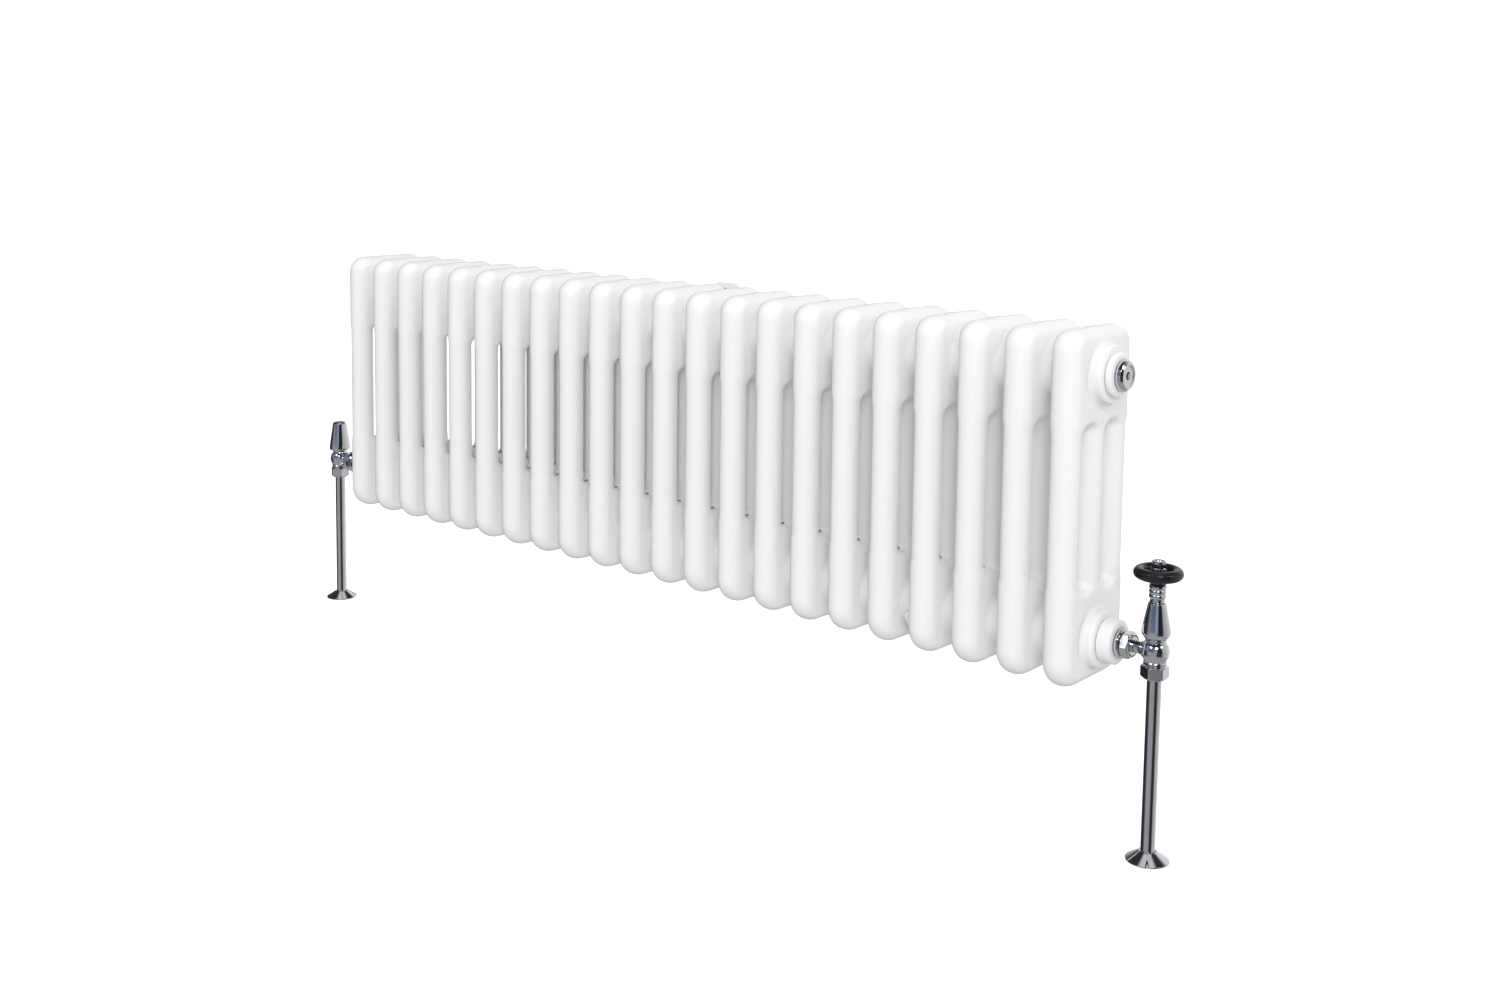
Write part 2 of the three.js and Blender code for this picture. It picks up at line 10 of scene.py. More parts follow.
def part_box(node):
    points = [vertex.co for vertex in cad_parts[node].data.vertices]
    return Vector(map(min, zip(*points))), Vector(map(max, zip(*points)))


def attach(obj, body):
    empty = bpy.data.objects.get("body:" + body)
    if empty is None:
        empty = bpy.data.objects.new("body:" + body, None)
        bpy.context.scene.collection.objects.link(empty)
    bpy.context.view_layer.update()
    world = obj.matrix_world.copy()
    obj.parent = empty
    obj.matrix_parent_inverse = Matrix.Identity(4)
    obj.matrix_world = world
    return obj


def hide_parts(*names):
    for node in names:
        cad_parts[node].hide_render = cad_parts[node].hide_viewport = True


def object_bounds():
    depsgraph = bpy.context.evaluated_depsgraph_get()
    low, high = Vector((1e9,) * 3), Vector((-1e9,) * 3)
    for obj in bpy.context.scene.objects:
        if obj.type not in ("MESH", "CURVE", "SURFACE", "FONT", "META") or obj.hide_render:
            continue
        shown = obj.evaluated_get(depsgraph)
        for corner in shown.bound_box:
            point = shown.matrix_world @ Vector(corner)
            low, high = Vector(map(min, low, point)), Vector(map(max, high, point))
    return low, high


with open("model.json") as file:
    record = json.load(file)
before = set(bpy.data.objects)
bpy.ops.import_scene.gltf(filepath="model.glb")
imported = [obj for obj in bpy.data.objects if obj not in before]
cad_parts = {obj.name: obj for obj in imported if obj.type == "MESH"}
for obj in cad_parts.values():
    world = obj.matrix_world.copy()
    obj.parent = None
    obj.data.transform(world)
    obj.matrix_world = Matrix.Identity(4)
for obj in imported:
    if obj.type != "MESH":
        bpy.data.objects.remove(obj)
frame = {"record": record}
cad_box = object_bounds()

MM = 0.001
SHARP_ANGLE = 38.0  # in degrees: edges that turn by more are shown sharp

# Section, from its upper hubs' axis: x across, y through its depth, z up
SECTION_COUNT = 22
SECTION_TOP = 38.0
SECTION_HALF_HEIGHT = 150.0
SECTION_HALF_DEPTH = 50.0
TOP_CORNER = 18.0
BOTTOM_CORNER = 24.0
COLUMN_RADIUS = 12.5
COLUMN_HALF_HEIGHT = 62.0  # from the middle up to where the columns turn into the heads
COLUMN_BLEND = 10.0
HEAD_HALF_WIDTH = 13.5
HEAD_ROUNDING = 10.0  # of the upper and lower edges
HEAD_PROUD = 1.01  # depth of the heads against that of the columns
SLOT_PLACE = 18.75
SLOT_HALF_WIDTH = 6.25
SLOT_HALF_HEIGHT = 68.0
SLOT_CORNER = 5.0
SLOT_ROUNDING = 8.0  # of the slots' ends
HUB_CENTRES = (0.0, -224.0)
HUB_RADIUS = 25.0
HUB_FILLET = 4.0
HUB_EDGE = 2.5
HUB_FACE = 22.35
HUB_BORE = 16.0
HUB_SIDES = 48
HUB_INNER = 27.2  # where the side view ends and the hub's wall begins
HUB_RINGS = (34.0, 32.0, 30.2, HUB_RADIUS + HUB_FILLET, 28.1, HUB_INNER)  # radii of the side view's rings
HUB_CLEAR = 35.0  # the side view's other points stay this far from a hub's axis

# End fittings, from the face of the hub or bush that they sit on
BUSH_LENGTHS = {"upper": 6.0, "lower": 13.0}
PLUG_LENGTH = 12.7

# Valves, from their own centre. The tail and the union nut are drawn from the face the tail sits on
NUT_TOP = -10.5
NECK_TOPS = {"right": 24.0, "left": 16.0}
BALL_RADIUS = 11.6
UNION_START = 4.3
EXTENSION = 32.0  # of the lockshield's tail

# Wall brackets, from the axis of the hub they hold
PLATE_TOP = 34.0
PLATE_BOTTOM = -50.0
PLATE_HALF_WIDTH = 16.0
PLATE_CORNER = 5.0
PLATE_THICKNESS = 4.0
HOLE_HEIGHTS = (24.0, -42.0)
HOLE_RADIUS = 3.0


# ---------------------------------------------------------------- materials

def new_material(name):
    material = bpy.data.materials.new(name)
    material.use_nodes = True
    nodes, links = material.node_tree.nodes, material.node_tree.links
    return material, nodes, links, nodes["Principled BSDF"]


def noise(nodes, links, scale, detail, stretch=(1.0, 1.0, 1.0)):
    """Noise in object space, in features per metre."""
    place = nodes.new("ShaderNodeTexCoord")
    mapping = nodes.new("ShaderNodeMapping")
    mapping.inputs["Scale"].default_value = stretch
    texture = nodes.new("ShaderNodeTexNoise")
    texture.inputs["Scale"].default_value = scale
    texture.inputs["Detail"].default_value = detail
    links.new(place.outputs["Object"], mapping.inputs["Vector"])
    links.new(mapping.outputs["Vector"], texture.inputs["Vector"])
    return texture.outputs["Fac"]


def ramp(nodes, links, factor, low, high):
    """Colours or greys that run from low to high over the middle of the factor's range."""
    node = nodes.new("ShaderNodeValToRGB")
    for element, position, colour in zip(node.color_ramp.elements, (0.3, 0.7), (low, high)):
        element.position = position
        element.color = colour
    links.new(factor, node.inputs["Fac"])
    return node.outputs["Color"]


def grey(value):
    return (value, value, value, 1.0)


def bump(nodes, links, factor, strength, distance, shader):
    node = nodes.new("ShaderNodeBump")
    node.inputs["Strength"].default_value = strength
    node.inputs["Distance"].default_value = distance
    links.new(factor, node.inputs["Height"])
    links.new(node.outputs["Normal"], shader.inputs["Normal"])


def enamel_material():
    material, nodes, links, shader = new_material("gloss_white_enamel")
    tone = noise(nodes, links, 7.0, 3.0)
    links.new(
        ramp(nodes, links, tone, (0.892, 0.894, 0.896, 1), (0.908, 0.910, 0.909, 1)),
        shader.inputs["Base Color"],
    )
    gloss = noise(nodes, links, 5.0, 2.0)
    links.new(ramp(nodes, links, gloss, grey(0.29), grey(0.32)), shader.inputs["Roughness"])
    shader.inputs["Coat Weight"].default_value = 0.2
    shader.inputs["Coat Roughness"].default_value = 0.16
    return material


def metal_material(name, dark, light, smooth, rough, scale, peel):
    """Metal from dark to light and from smooth to rough, with a fine unevenness."""
    material, nodes, links, shader = new_material(name)
    shader.inputs["Metallic"].default_value = 1.0
    tone = noise(nodes, links, scale, 5.0)
    links.new(ramp(nodes, links, tone, dark, light), shader.inputs["Base Color"])
    smear = noise(nodes, links, scale * 2.2, 6.0, (1.0, 1.0, 0.35))
    links.new(ramp(nodes, links, smear, grey(smooth), grey(rough)), shader.inputs["Roughness"])
    bump(nodes, links, noise(nodes, links, scale * 12, 2.0), peel, 0.00004, shader)
    return material


def plastic_material():
    material, nodes, links, shader = new_material("black_gloss_wheel")
    tone = noise(nodes, links, 60.0, 4.0)
    links.new(
        ramp(nodes, links, tone, (0.008, 0.008, 0.009, 1), (0.016, 0.016, 0.018, 1)),
        shader.inputs["Base Color"],
    )
    gloss = noise(nodes, links, 140.0, 5.0)
    links.new(ramp(nodes, links, gloss, grey(0.2), grey(0.32)), shader.inputs["Roughness"])
    bump(nodes, links, noise(nodes, links, 900.0, 2.0), 0.02, 0.0001, shader)
    return material


def floor_material():
    material, nodes, links, shader = new_material("pale_floor")
    tone = noise(nodes, links, 1.5, 2.0)
    links.new(ramp(nodes, links, tone, grey(0.92), grey(0.93)), shader.inputs["Base Color"])
    shader.inputs["Roughness"].default_value = 0.9
    shader.inputs["Specular IOR Level"].default_value = 0.1
    # A light table: white even in the part's shadow
    shader.inputs["Emission Color"].default_value = (1.0, 1.0, 1.0, 1)
    shader.inputs["Emission Strength"].default_value = 0.5
    return material


SLOTS = {
    "enamel": enamel_material(),
    "chrome": metal_material(
        "polished_chrome",
        dark=(0.72, 0.73, 0.75, 1),
        light=(0.80, 0.81, 0.83, 1),
        smooth=0.04,
        rough=0.09,
        scale=70.0,
        peel=0.02,
    ),
    "brass": metal_material(
        "turned_brass",
        dark=(0.60, 0.48, 0.28, 1),
        light=(0.74, 0.62, 0.40, 1),
        smooth=0.22,
        rough=0.42,
        scale=160.0,
        peel=0.2,
    ),
    "zinc_steel": metal_material(
        "zinc_plate",
        dark=(0.50, 0.51, 0.53, 1),
        light=(0.66, 0.67, 0.68, 1),
        smooth=0.28,
        rough=0.48,
        scale=120.0,
        peel=0.25,
    ),
    "black_wheel": plastic_material(),
}
slot_of = {part["node"]: part["material_slot"] for part in frame["record"]["subparts"]}
body_of = {
    node: body for body, nodes in frame["record"]["behaviour"]["bodies"].items() for node in nodes
}


# ---------------------------------------------------------------- shapes

def angles_round(count):
    return [2 * math.pi * i / count for i in range(count)]


def circle(radius, height, count):
    return [(radius * math.cos(a), radius * math.sin(a), height) for a in angles_round(count)]


def ring_faces(near, far):
    """Quads between two rings of vertex numbers."""
    count = len(near)
    return [[near[i], near[(i + 1) % count], far[(i + 1) % count], far[i]] for i in range(count)]


def loft(rings, closed=False):
    """Skins rings of equal length, or single points, in their order along the outside."""
    verts, starts = [], []
    for ring in rings:
        starts.append((len(verts), len(ring)))
        verts += ring
    count = max(size for _, size in starts)
    faces = []
    pairs = list(zip(starts, starts[1:]))
    if closed:
        pairs.append((starts[-1], starts[0]))
    for (a, a_size), (b, b_size) in pairs:
        for i in range(count):
            j = (i + 1) % count
            corners = [a + i % a_size, a + j % a_size, b + j % b_size, b + i % b_size]
            face = [c for k, c in enumerate(corners) if c != corners[k - 1]]
            if len(face) > 2:
                faces.append(face)
    return verts, faces


def rounded(profile, radius, steps, closed):
    """The profile with its corners rounded, as far as their sides allow."""
    points = [Vector(p) for p in profile]
    count = len(points)
    nearly_straight = math.radians(168)
    longest = 0.45  # share of a side that one corner may take
    result = []
    for i, here in enumerate(points):
        before, after = points[i - 1] - here, points[(i + 1) % count] - here
        at_end = not closed and i in (0, count - 1)
        if at_end or before.angle(after, math.pi) > nearly_straight:
            result.append(tuple(here))
            continue
        half = before.angle(after, math.pi) / 2
        reach = min(radius / math.tan(half), longest * before.length, longest * after.length)
        start, end = here + before.normalized() * reach, here + after.normalized() * reach
        inward = (before.normalized() + after.normalized()).normalized()
        middle = here + inward * (reach / math.cos(half))
        first = start - middle
        turn = first.angle_signed(end - middle)
        for k in range(steps + 1):
            a = -turn * k / steps
            c, s = math.cos(a), math.sin(a)
            result.append((middle.x + c * first.x - s * first.y, middle.y + s * first.x + c * first.y))
    return result


def turned(profile, radius=0.0, count=64, closed=False, steps=4):
    """A lathe of (radius, height) pairs, with rounded corners."""
    if radius:
        profile = rounded(profile, radius, steps, closed)
    rings = [[(0.0, 0.0, h)] if r < 1e-6 else circle(r, h, count) for r, h in profile]
    return loft(rings, closed)


def polygon(sides, flats, corner, along=5):
    """A polygon with rounded corners, by its width across the flats, as points round its centre."""
    half = math.pi / sides
    middle = (flats / 2 - corner) / math.cos(half)
    steps = 3  # of each rounded corner

    def on_corner(k, share):
        """A point of corner k: 0 is its start and 1 its end."""
        at = (2 * k + 1) * half
        a = at - half + 2 * half * share
        centre = Vector((middle * math.cos(at), middle * math.sin(at)))
        return centre + Vector((corner * math.cos(a), corner * math.sin(a)))

    points = []
    for k in range(sides):
        points += [on_corner(k, i / steps) for i in range(steps + 1)]
        end, following = on_corner(k, 1), on_corner(k + 1, 0)
        points += [end.lerp(following, (i + 1) / (along + 1)) for i in range(along)]
    return points


def at_height(points, height, scale=1.0):
    return [(p.x * scale, p.y * scale, height) for p in points]


def ring_on(points, radius, height):
    return [(p.x / p.length * radius, p.y / p.length * radius, height) for p in points]


def nut(flats, low, high, bore, corner=0.7):
    """A hexagon nut with chamfered ends and a bore."""
    points = polygon(6, flats, corner)
    base = flats / 2 * 0.965  # radius of the round ends
    slope, edge, bevel = 0.5, 0.1, 0.3
    drops = [edge + max(0.0, p.length - base) * slope for p in points]
    rings = [
        ring_on(points, bore, low),
        ring_on(points, base - bevel, low),
        ring_on(points, base, low + edge),
        [(p.x, p.y, low + drop) for p, drop in zip(points, drops)],
        [(p.x, p.y, high - drop) for p, drop in zip(points, drops)],
        ring_on(points, base, high - edge),
        ring_on(points, base - bevel, high),
        ring_on(points, bore, high),
    ]
    return loft(rings, closed=True)


def box_shape(x, y, z):
    """A box of these lengths, with its middle at the origin."""
    x, y, z = x / 2, y / 2, z / 2
    corners = ((-x, -y), (x, -y), (x, y), (-x, y))
    verts = [(*corner, height) for height in (-z, z) for corner in corners]
    return verts, [[3, 2, 1, 0], [4, 5, 6, 7]] + ring_faces([0, 1, 2, 3], [4, 5, 6, 7])


def joined(*shapes):
    """Shapes put together as one."""
    verts, faces = [], []
    for more_verts, more_faces in shapes:
        start = len(verts)
        verts += list(more_verts)
        faces += [[start + i for i in face] for face in more_faces]
    return verts, faces


def moved(shape, matrix):
    """The shape with a matrix applied to its points."""
    return [tuple(matrix @ Vector(v)) for v in shape[0]], shape[1]


def flipped(shape):
    """The shape with its faces turned inside out."""
    return shape[0], [face[::-1] for face in shape[1]]


def lying(shape):
    """The shape with its axis turned from z to x."""
    return moved(shape, Matrix.Rotation(math.pi / 2, 4, "Y"))


def mesh_of(name, shape):
    verts, faces = shape
    mesh = bpy.data.meshes.new(name)
    mesh.from_pydata([Vector(v) * MM for v in verts], [], faces)
    mesh.validate()
    return mesh


def finish_surface(mesh):
    """Shades the mesh smooth, with its sharp edges marked."""
    mesh.shade_smooth()
    normals = [face.normal.copy() for face in mesh.polygons]
    sides = {}
    for face in mesh.polygons:
        for key in face.edge_keys:
            sides.setdefault(key, []).append(face.index)
    limit = math.cos(math.radians(SHARP_ANGLE))
    for edge in mesh.edges:
        near = sides.get(edge.key, [])
        if len(near) == 2 and normals[near[0]].dot(normals[near[1]]) < limit:
            edge.use_edge_sharp = True


def cut_with(mesh, shape):
    """The mesh with a shape taken out of it."""
    holder = bpy.data.objects.new("cut_target", mesh)
    cutter = bpy.data.objects.new("cutter", mesh_of("cutter_mesh", shape))
    for obj in (holder, cutter):
        bpy.context.scene.collection.objects.link(obj)
    modifier = holder.modifiers.new("cut", "BOOLEAN")
    modifier.object = cutter
    modifier.solver = "EXACT"
    bpy.context.view_layer.update()
    graph = bpy.context.evaluated_depsgraph_get()
    result = bpy.data.meshes.new_from_object(holder.evaluated_get(graph))
    bpy.data.objects.remove(holder)
    bpy.data.objects.remove(cutter)
    return result


def piece(node, mesh, origin, turn=0.0, weighted=True):
    """An object that stands for a CAD node, at a place in metres, turned about z."""
    obj = bpy.data.objects.new(node + "_look", mesh)
    bpy.context.scene.collection.objects.link(obj)
    obj.location = origin
    obj.rotation_euler = (0.0, 0.0, turn)
    if not mesh.materials:
        mesh.materials.append(SLOTS[slot_of[node]])
    if weighted:
        modifier = obj.modifiers.new("even_faces", "WEIGHTED_NORMAL")
        modifier.keep_sharp = True
        modifier.weight = 70
    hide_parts(node)
    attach(obj, body_of[node])
    return obj


def solid_piece(node, shape, origin, turn=0.0):
    mesh = mesh_of(node + "_mesh", shape)
    finish_surface(mesh)
    return piece(node, mesh, origin, turn)


def centre_of(node):
    low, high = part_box(node)
    return (low + high) / 2


# ---------------------------------------------------------------- sections

def smooth(x):
    """Goes from 0 to 1 without a corner."""
    x = np.clip(x, 0, 1)
    return x * x * (3 - 2 * x)


def from_middle(z):
    return z - (SECTION_TOP - SECTION_HALF_HEIGHT)


def column_share(z):
    """1 at the columns, 0 at the heads."""
    return 1 - smooth((np.abs(from_middle(z)) - COLUMN_HALF_HEIGHT) / COLUMN_BLEND)


def hub_distance(y, z):
    return np.minimum(*(np.hypot(y, z - centre) for centre in HUB_CENTRES))


def rounding(ny, nz, upright):
    """Depth of the rounded edge where the outline faces (ny, nz)."""
    return 1 / np.sqrt((ny / COLUMN_RADIUS) ** 2 + (nz / upright) ** 2)


def inset_share(y, z):
    """How far in from the nearest edge a point of the side view lies: 0 on the edge, 1 past its rounding."""
    z = from_middle(z)
    corner = np.where(z > 0, TOP_CORNER, BOTTOM_CORNER)
    qy = np.abs(y) - (SECTION_HALF_DEPTH - corner)
    qz = np.abs(z) - (SECTION_HALF_HEIGHT - corner)
    both = (qy > 0) & (qz > 0)
    length = np.where(both, np.hypot(qy, qz), np.maximum(qy, qz))
    ny = np.where(both, qy / np.where(both, length, 1), qy >= qz)
    nz = np.where(both, qz / np.where(both, length, 1), qy < qz)
    share = (corner - length) / rounding(ny, nz, HEAD_ROUNDING)
    for place in (-SLOT_PLACE, SLOT_PLACE):
        vy = np.maximum(np.abs(y - place) - (SLOT_HALF_WIDTH - SLOT_CORNER), 0)
        vz = np.maximum(np.abs(z) - (SLOT_HALF_HEIGHT - SLOT_CORNER), 0)
        length = np.maximum(np.hypot(vy, vz), 1e-9)
        depth = rounding(vy / length, vz / length, SLOT_ROUNDING)
        share = np.minimum(share, (length - SLOT_CORNER) / depth)
    return np.minimum(share, 1)


def half_width(y, z):
    """Half width of the section at a point of the side view, with the foot of its hubs."""
    share = np.clip(inset_share(y, z), 0, 1)
    body = (HEAD_HALF_WIDTH - column_share(z)) * np.sqrt(1 - (1 - share) ** 2)
    away = hub_distance(y, z)
    inside = np.clip((HUB_RADIUS + HUB_FILLET - away) / HUB_FILLET, 0, 0.98)
    hub = HEAD_HALF_WIDTH + HUB_FILLET * (1 - np.sqrt(1 - inside**2))
    # Past its foot the hub's value falls away, so that the section's own surface takes over
    hub = hub - 0.9 * np.maximum(away - HUB_RADIUS - HUB_FILLET, 0)
    blend = 1.2  # difference of the two over which they merge
    mix = np.clip(0.5 + 0.5 * (hub - body) / blend, 0, 1)
    return body * (1 - mix) + hub * mix + blend * mix * (1 - mix) * 0.5


def edge_walk(half_y, half_z, upper, lower, sides, across, arc):
    """Points (y, z) and outward directions round a box with rounded corners, centred on (0, 0)."""
    walk = []
    for sy, sz in ((1, 1), (-1, 1), (-1, -1), (1, -1)):
        corner = upper if sz > 0 else lower
        for i in range(arc + 1):
            a = math.pi / 2 * i / arc
            ny, nz = sy * math.cos(a), sz * math.sin(a)
            walk.append(
                (sy * (half_y - corner) + corner * ny, sz * (half_z - corner) + corner * nz, ny, nz)
            )
    for z in sides:
        walk += [(half_y, z, 1, 0), (-half_y, z, -1, 0)]
    for y in across:
        walk += [(y, half_z, 0, 1), (y, -half_z, 0, -1)]
    return walk


def side_view_points():
    """Points (y, z, outward direction on the outline or None), and the numbers of those nearest each hub."""
    near = [0, 13, 26, 39, 52, 63]
    head = [66, 69, 72, 75.5, 80, 85, 90, 95, 100, 105, 110, 115, 120.5]
    levels = sorted({s * v for v in near for s in (-1, 1)})
    outer = edge_walk(
        SECTION_HALF_DEPTH,
        SECTION_HALF_HEIGHT,
        TOP_CORNER,
        BOTTOM_CORNER,
        sides=levels + [s * v for v in head for s in (-1, 1)] + [126.0],
        across=[-21, -17, -13, -9, -4.5, 0, 4.5, 9, 13, 17, 21],
        arc=9,
    )
    slot = edge_walk(
        SLOT_HALF_WIDTH, SLOT_HALF_HEIGHT, SLOT_CORNER, SLOT_CORNER, sides=levels[1:-1], across=[], arc=4
    )
    middle = SECTION_TOP - SECTION_HALF_HEIGHT
    points, numbers = [], {}

    def add(y, z, outward=None):
        place = (round(y, 2), round(z, 2))
        if place not in numbers:
            numbers[place] = len(points)
            points.append((y, z, outward))
        return numbers[place]

    def add_inset(walk, centre, upright, inward, share):
        """A walk round an edge, moved in from it by a share of the edge's rounding."""
        for y, z, ny, nz in walk:
            depth = inward * share * rounding(ny, nz, upright)
            py, pz = centre + y - ny * depth, middle + z - nz * depth
            if hub_distance(py, pz) > HUB_CLEAR:
                add(py, pz, (0, inward * ny, inward * nz) if share == 0 else None)

    for degrees in (0, 14, 28, 42, 56, 72, 90):
        share = 1 - math.cos(math.radians(degrees))
        add_inset(outer, 0.0, HEAD_ROUNDING, 1, share)
        for place in (-SLOT_PLACE, SLOT_PLACE):
            add_inset(slot, place, SLOT_ROUNDING, -1, share)
    rims = {}
    for centre in HUB_CENTRES:
        for radius in HUB_RINGS:
            rims[centre] = [
                add(radius * math.cos(a), centre + radius * math.sin(a)) for a in angles_round(HUB_SIDES)
            ]
    return points, rims


def side_view_faces(points):
    """Triangles between the points, except in the slots, in the hubs and past the outline."""
    flat = [Vector((y, z)) for y, z, _ in points]
    _, _, triangles, original, _, _ = delaunay_2d_cdt(flat, [], [], 0, 1e-5)
    faces = []
    for triangle in triangles:
        face = [original[i][0] for i in triangle]
        y, z = sum((flat[i] for i in face), Vector((0, 0))) / 3
        if hub_distance(y, z) > HUB_INNER - 0.2 and inset_share(y, z) > 0:
            faces.append(face)
    return faces


def slopes(function, ys, zs):
    """How fast a function of the side view grows along y and along z."""
    step = 0.03
    along_y = (function(ys + step, zs) - function(ys - step, zs)) / (2 * step)
    along_z = (function(ys, zs + step) - function(ys, zs - step)) / (2 * step)
    return along_y, along_z


def side_view_surface(points):
    """The side view's points raised to the section's half width, and the surface's directions there."""
    ys = np.array([y for y, _, _ in points], float)
    zs = np.array([z for _, z, _ in points], float)
    xs = half_width(ys, zs)
    dy, dz = slopes(half_width, ys, zs)
    normals = np.stack([np.ones_like(ys), -dy, -dz], 1)
    # Near the outline the surface is too steep for that, so the rounding itself gives the direction
    share = np.clip(inset_share(ys, zs), 0, 1)
    sy, sz = slopes(inset_share, ys, zs)
    rim = np.stack([xs / HEAD_HALF_WIDTH**2, -(1 - share) * sy, -(1 - share) * sz], 1)
    steep = xs < 4
    normals[steep] = rim[steep]
    for i, (_, _, outward) in enumerate(points):
        if outward:
            normals[i] = outward
            xs[i] = 0
    normals /= np.linalg.norm(normals, axis=1)[:, None]
    ys = ys * (1 + (HEAD_PROUD - 1) * (1 - column_share(zs)))
    return np.stack([xs, ys, zs], 1), normals


def hub_wall():
    """Rings from a hub's foot to its bore: radius, x, and the direction's shares outwards and along x."""
    rings = []
    for a in map(math.radians, (42, 56, 70, 84)):
        radius = HUB_RADIUS + HUB_FILLET - HUB_FILLET * math.sin(a)
        rings.append((radius, HEAD_HALF_WIDTH + HUB_FILLET * (1 - math.cos(a)), math.sin(a), math.cos(a)))
    for a in map(math.radians, (9, 20, 38, 56, 74, 90)):
        radius = HUB_RADIUS - HUB_EDGE + HUB_EDGE * math.cos(a)
        rings.append((radius, HUB_FACE - HUB_EDGE + HUB_EDGE * math.sin(a), math.cos(a), math.sin(a)))
    rings.append((HUB_BORE, HUB_FACE, 0, 1))
    return rings


def section_mesh():
    """One section as a closed skin: its side view, raised on both sides, and its hubs with their bores."""
    points, rims = side_view_points()
    triangles = side_view_faces(points)
    places, normals = side_view_surface(points)
    verts, vert_normals, faces = [], [], []
    numbers = {}
    for side in (1, -1):
        numbers[side] = []
        for i, ((x, y, z), (nx, ny, nz)) in enumerate(zip(places, normals)):
            if side < 0 and x == 0:
                numbers[side].append(numbers[1][i])
                continue
            numbers[side].append(len(verts))
            verts.append((side * x, y, z))
            vert_normals.append((side * nx, ny, nz))
        faces += [[numbers[side][i] for i in triangle[::side]] for triangle in triangles]
    ends = {}
    for side in (1, -1):
        for centre in HUB_CENTRES:
            near = [numbers[side][i] for i in rims[centre]]
            for radius, x, radial, axial in hub_wall():
                far = []
                for a in angles_round(HUB_SIDES):
                    far.append(len(verts))
                    verts.append((side * x, radius * math.cos(a), centre + radius * math.sin(a)))
                    vert_normals.append((side * axial, radial * math.cos(a), radial * math.sin(a)))
                faces += [face[::side] for face in ring_faces(near, far)]
                near = far
            ends[side, centre] = near
    for centre in HUB_CENTRES:
        faces += ring_faces(ends[1, centre], ends[-1, centre])

    mesh = bpy.data.meshes.new("section_mesh")
    mesh.from_pydata([Vector(v) * MM for v in verts], [], faces)
    mesh.shade_smooth()
    mesh.normals_split_custom_set_from_vertices(vert_normals)
    return mesh


def build_sections():
    mesh = section_mesh()
    for number in range(1, SECTION_COUNT + 1):
        node = "section_%02d" % number
        middle, top = centre_of(node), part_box(node)[1].z
        obj = piece(node, mesh, (middle.x, middle.y, top - SECTION_TOP * MM), weighted=False)
        # The valves' chrome mirrors the studio here, not the white sections
        obj.visible_glossy = False


# ---------------------------------------------------------------- end fittings

def bush(length):
    """Reducing bush with a stepped flange."""
    profile = [
        (11.0, -13.8), (13.8, -13.8), (13.8, 0.3), (19.0, 0.3), (19.0, length - 1.8),
        (17.4, length - 0.5), (13.8, length), (13.2, length - 0.6), (11.0, length - 0.6),
    ]
    return lying(turned(profile, 0.8, 72, closed=True))


def vent_plug():
    """Chrome plug with a domed rim, a dished face and a bore for the bleed screw."""
    body = [
        (3.2, -7.5), (9.8, -7.5), (9.8, 6.3), (12.8, 6.3), (12.8, 11.0), (10.8, 12.7),
        (9.2, 12.7), (7.6, 11.6), (4.4, 11.6), (3.2, 11.6),
    ]
    return lying(turned(body, 0.55, 72, closed=True))


def blank_plug():
    """Chrome plug with a hexagon socket."""
    socket = polygon(6, 8.0, 0.3, along=3)
    profile = [
        (9.8, -7.5), (9.8, 6.3), (12.3, 6.3), (12.8, 6.8), (12.8, 10.4), (12.3, 11.6), (11.2, 12.5),
        (10.0, 12.7), (6.0, 12.7),
    ]
    rings = [[(0.0, 0.0, -7.5)]]
    rings += [ring_on(socket, radius, height) for radius, height in profile]
    rings += [at_height(socket, 12.3), at_height(socket, 7.9), [(0.0, 0.0, 7.4)]]
    return lying(loft(rings))


def bleed_screw():
    stem = turned([(0.0, -1.3), (2.6, -1.3), (2.6, 9.0), (0.0, 9.0)], 0.3, 32)
    square = polygon(4, 3.4, 0.25, along=2)
    head = loft([
        [(0.0, 0.0, 8.6)],
        at_height(square, 8.6),
        at_height(square, 12.0),
        at_height(square, 12.3, 0.86),
        [(0.0, 0.0, 12.3)],
    ])
    return lying(joined(stem, head))


def fitting_origin(node, length):
    """Place and turn of a fitting that reaches this far out from its face, at the end the node is on."""
    low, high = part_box(node)
    middle = (low + high) / 2
    if middle.x > 0:
        return (high.x - length * MM, middle.y, middle.z), 0.0
    return (low.x + length * MM, middle.y, middle.z), math.pi


def build_end_fittings():
    for node in ("bush_upper_right", "bush_lower_right", "bush_upper_left", "bush_lower_left"):
        length = BUSH_LENGTHS[node.split("_")[1]]
        solid_piece(node, bush(length), *fitting_origin(node, length))
    vent = fitting_origin("air_vent_plug", PLUG_LENGTH)
    solid_piece("air_vent_plug", vent_plug(), *vent)
    solid_piece("bleed_screw", bleed_screw(), *vent)
    solid_piece("blank_plug", blank_plug(), *fitting_origin("blank_plug", PLUG_LENGTH))


# ---------------------------------------------------------------- valves

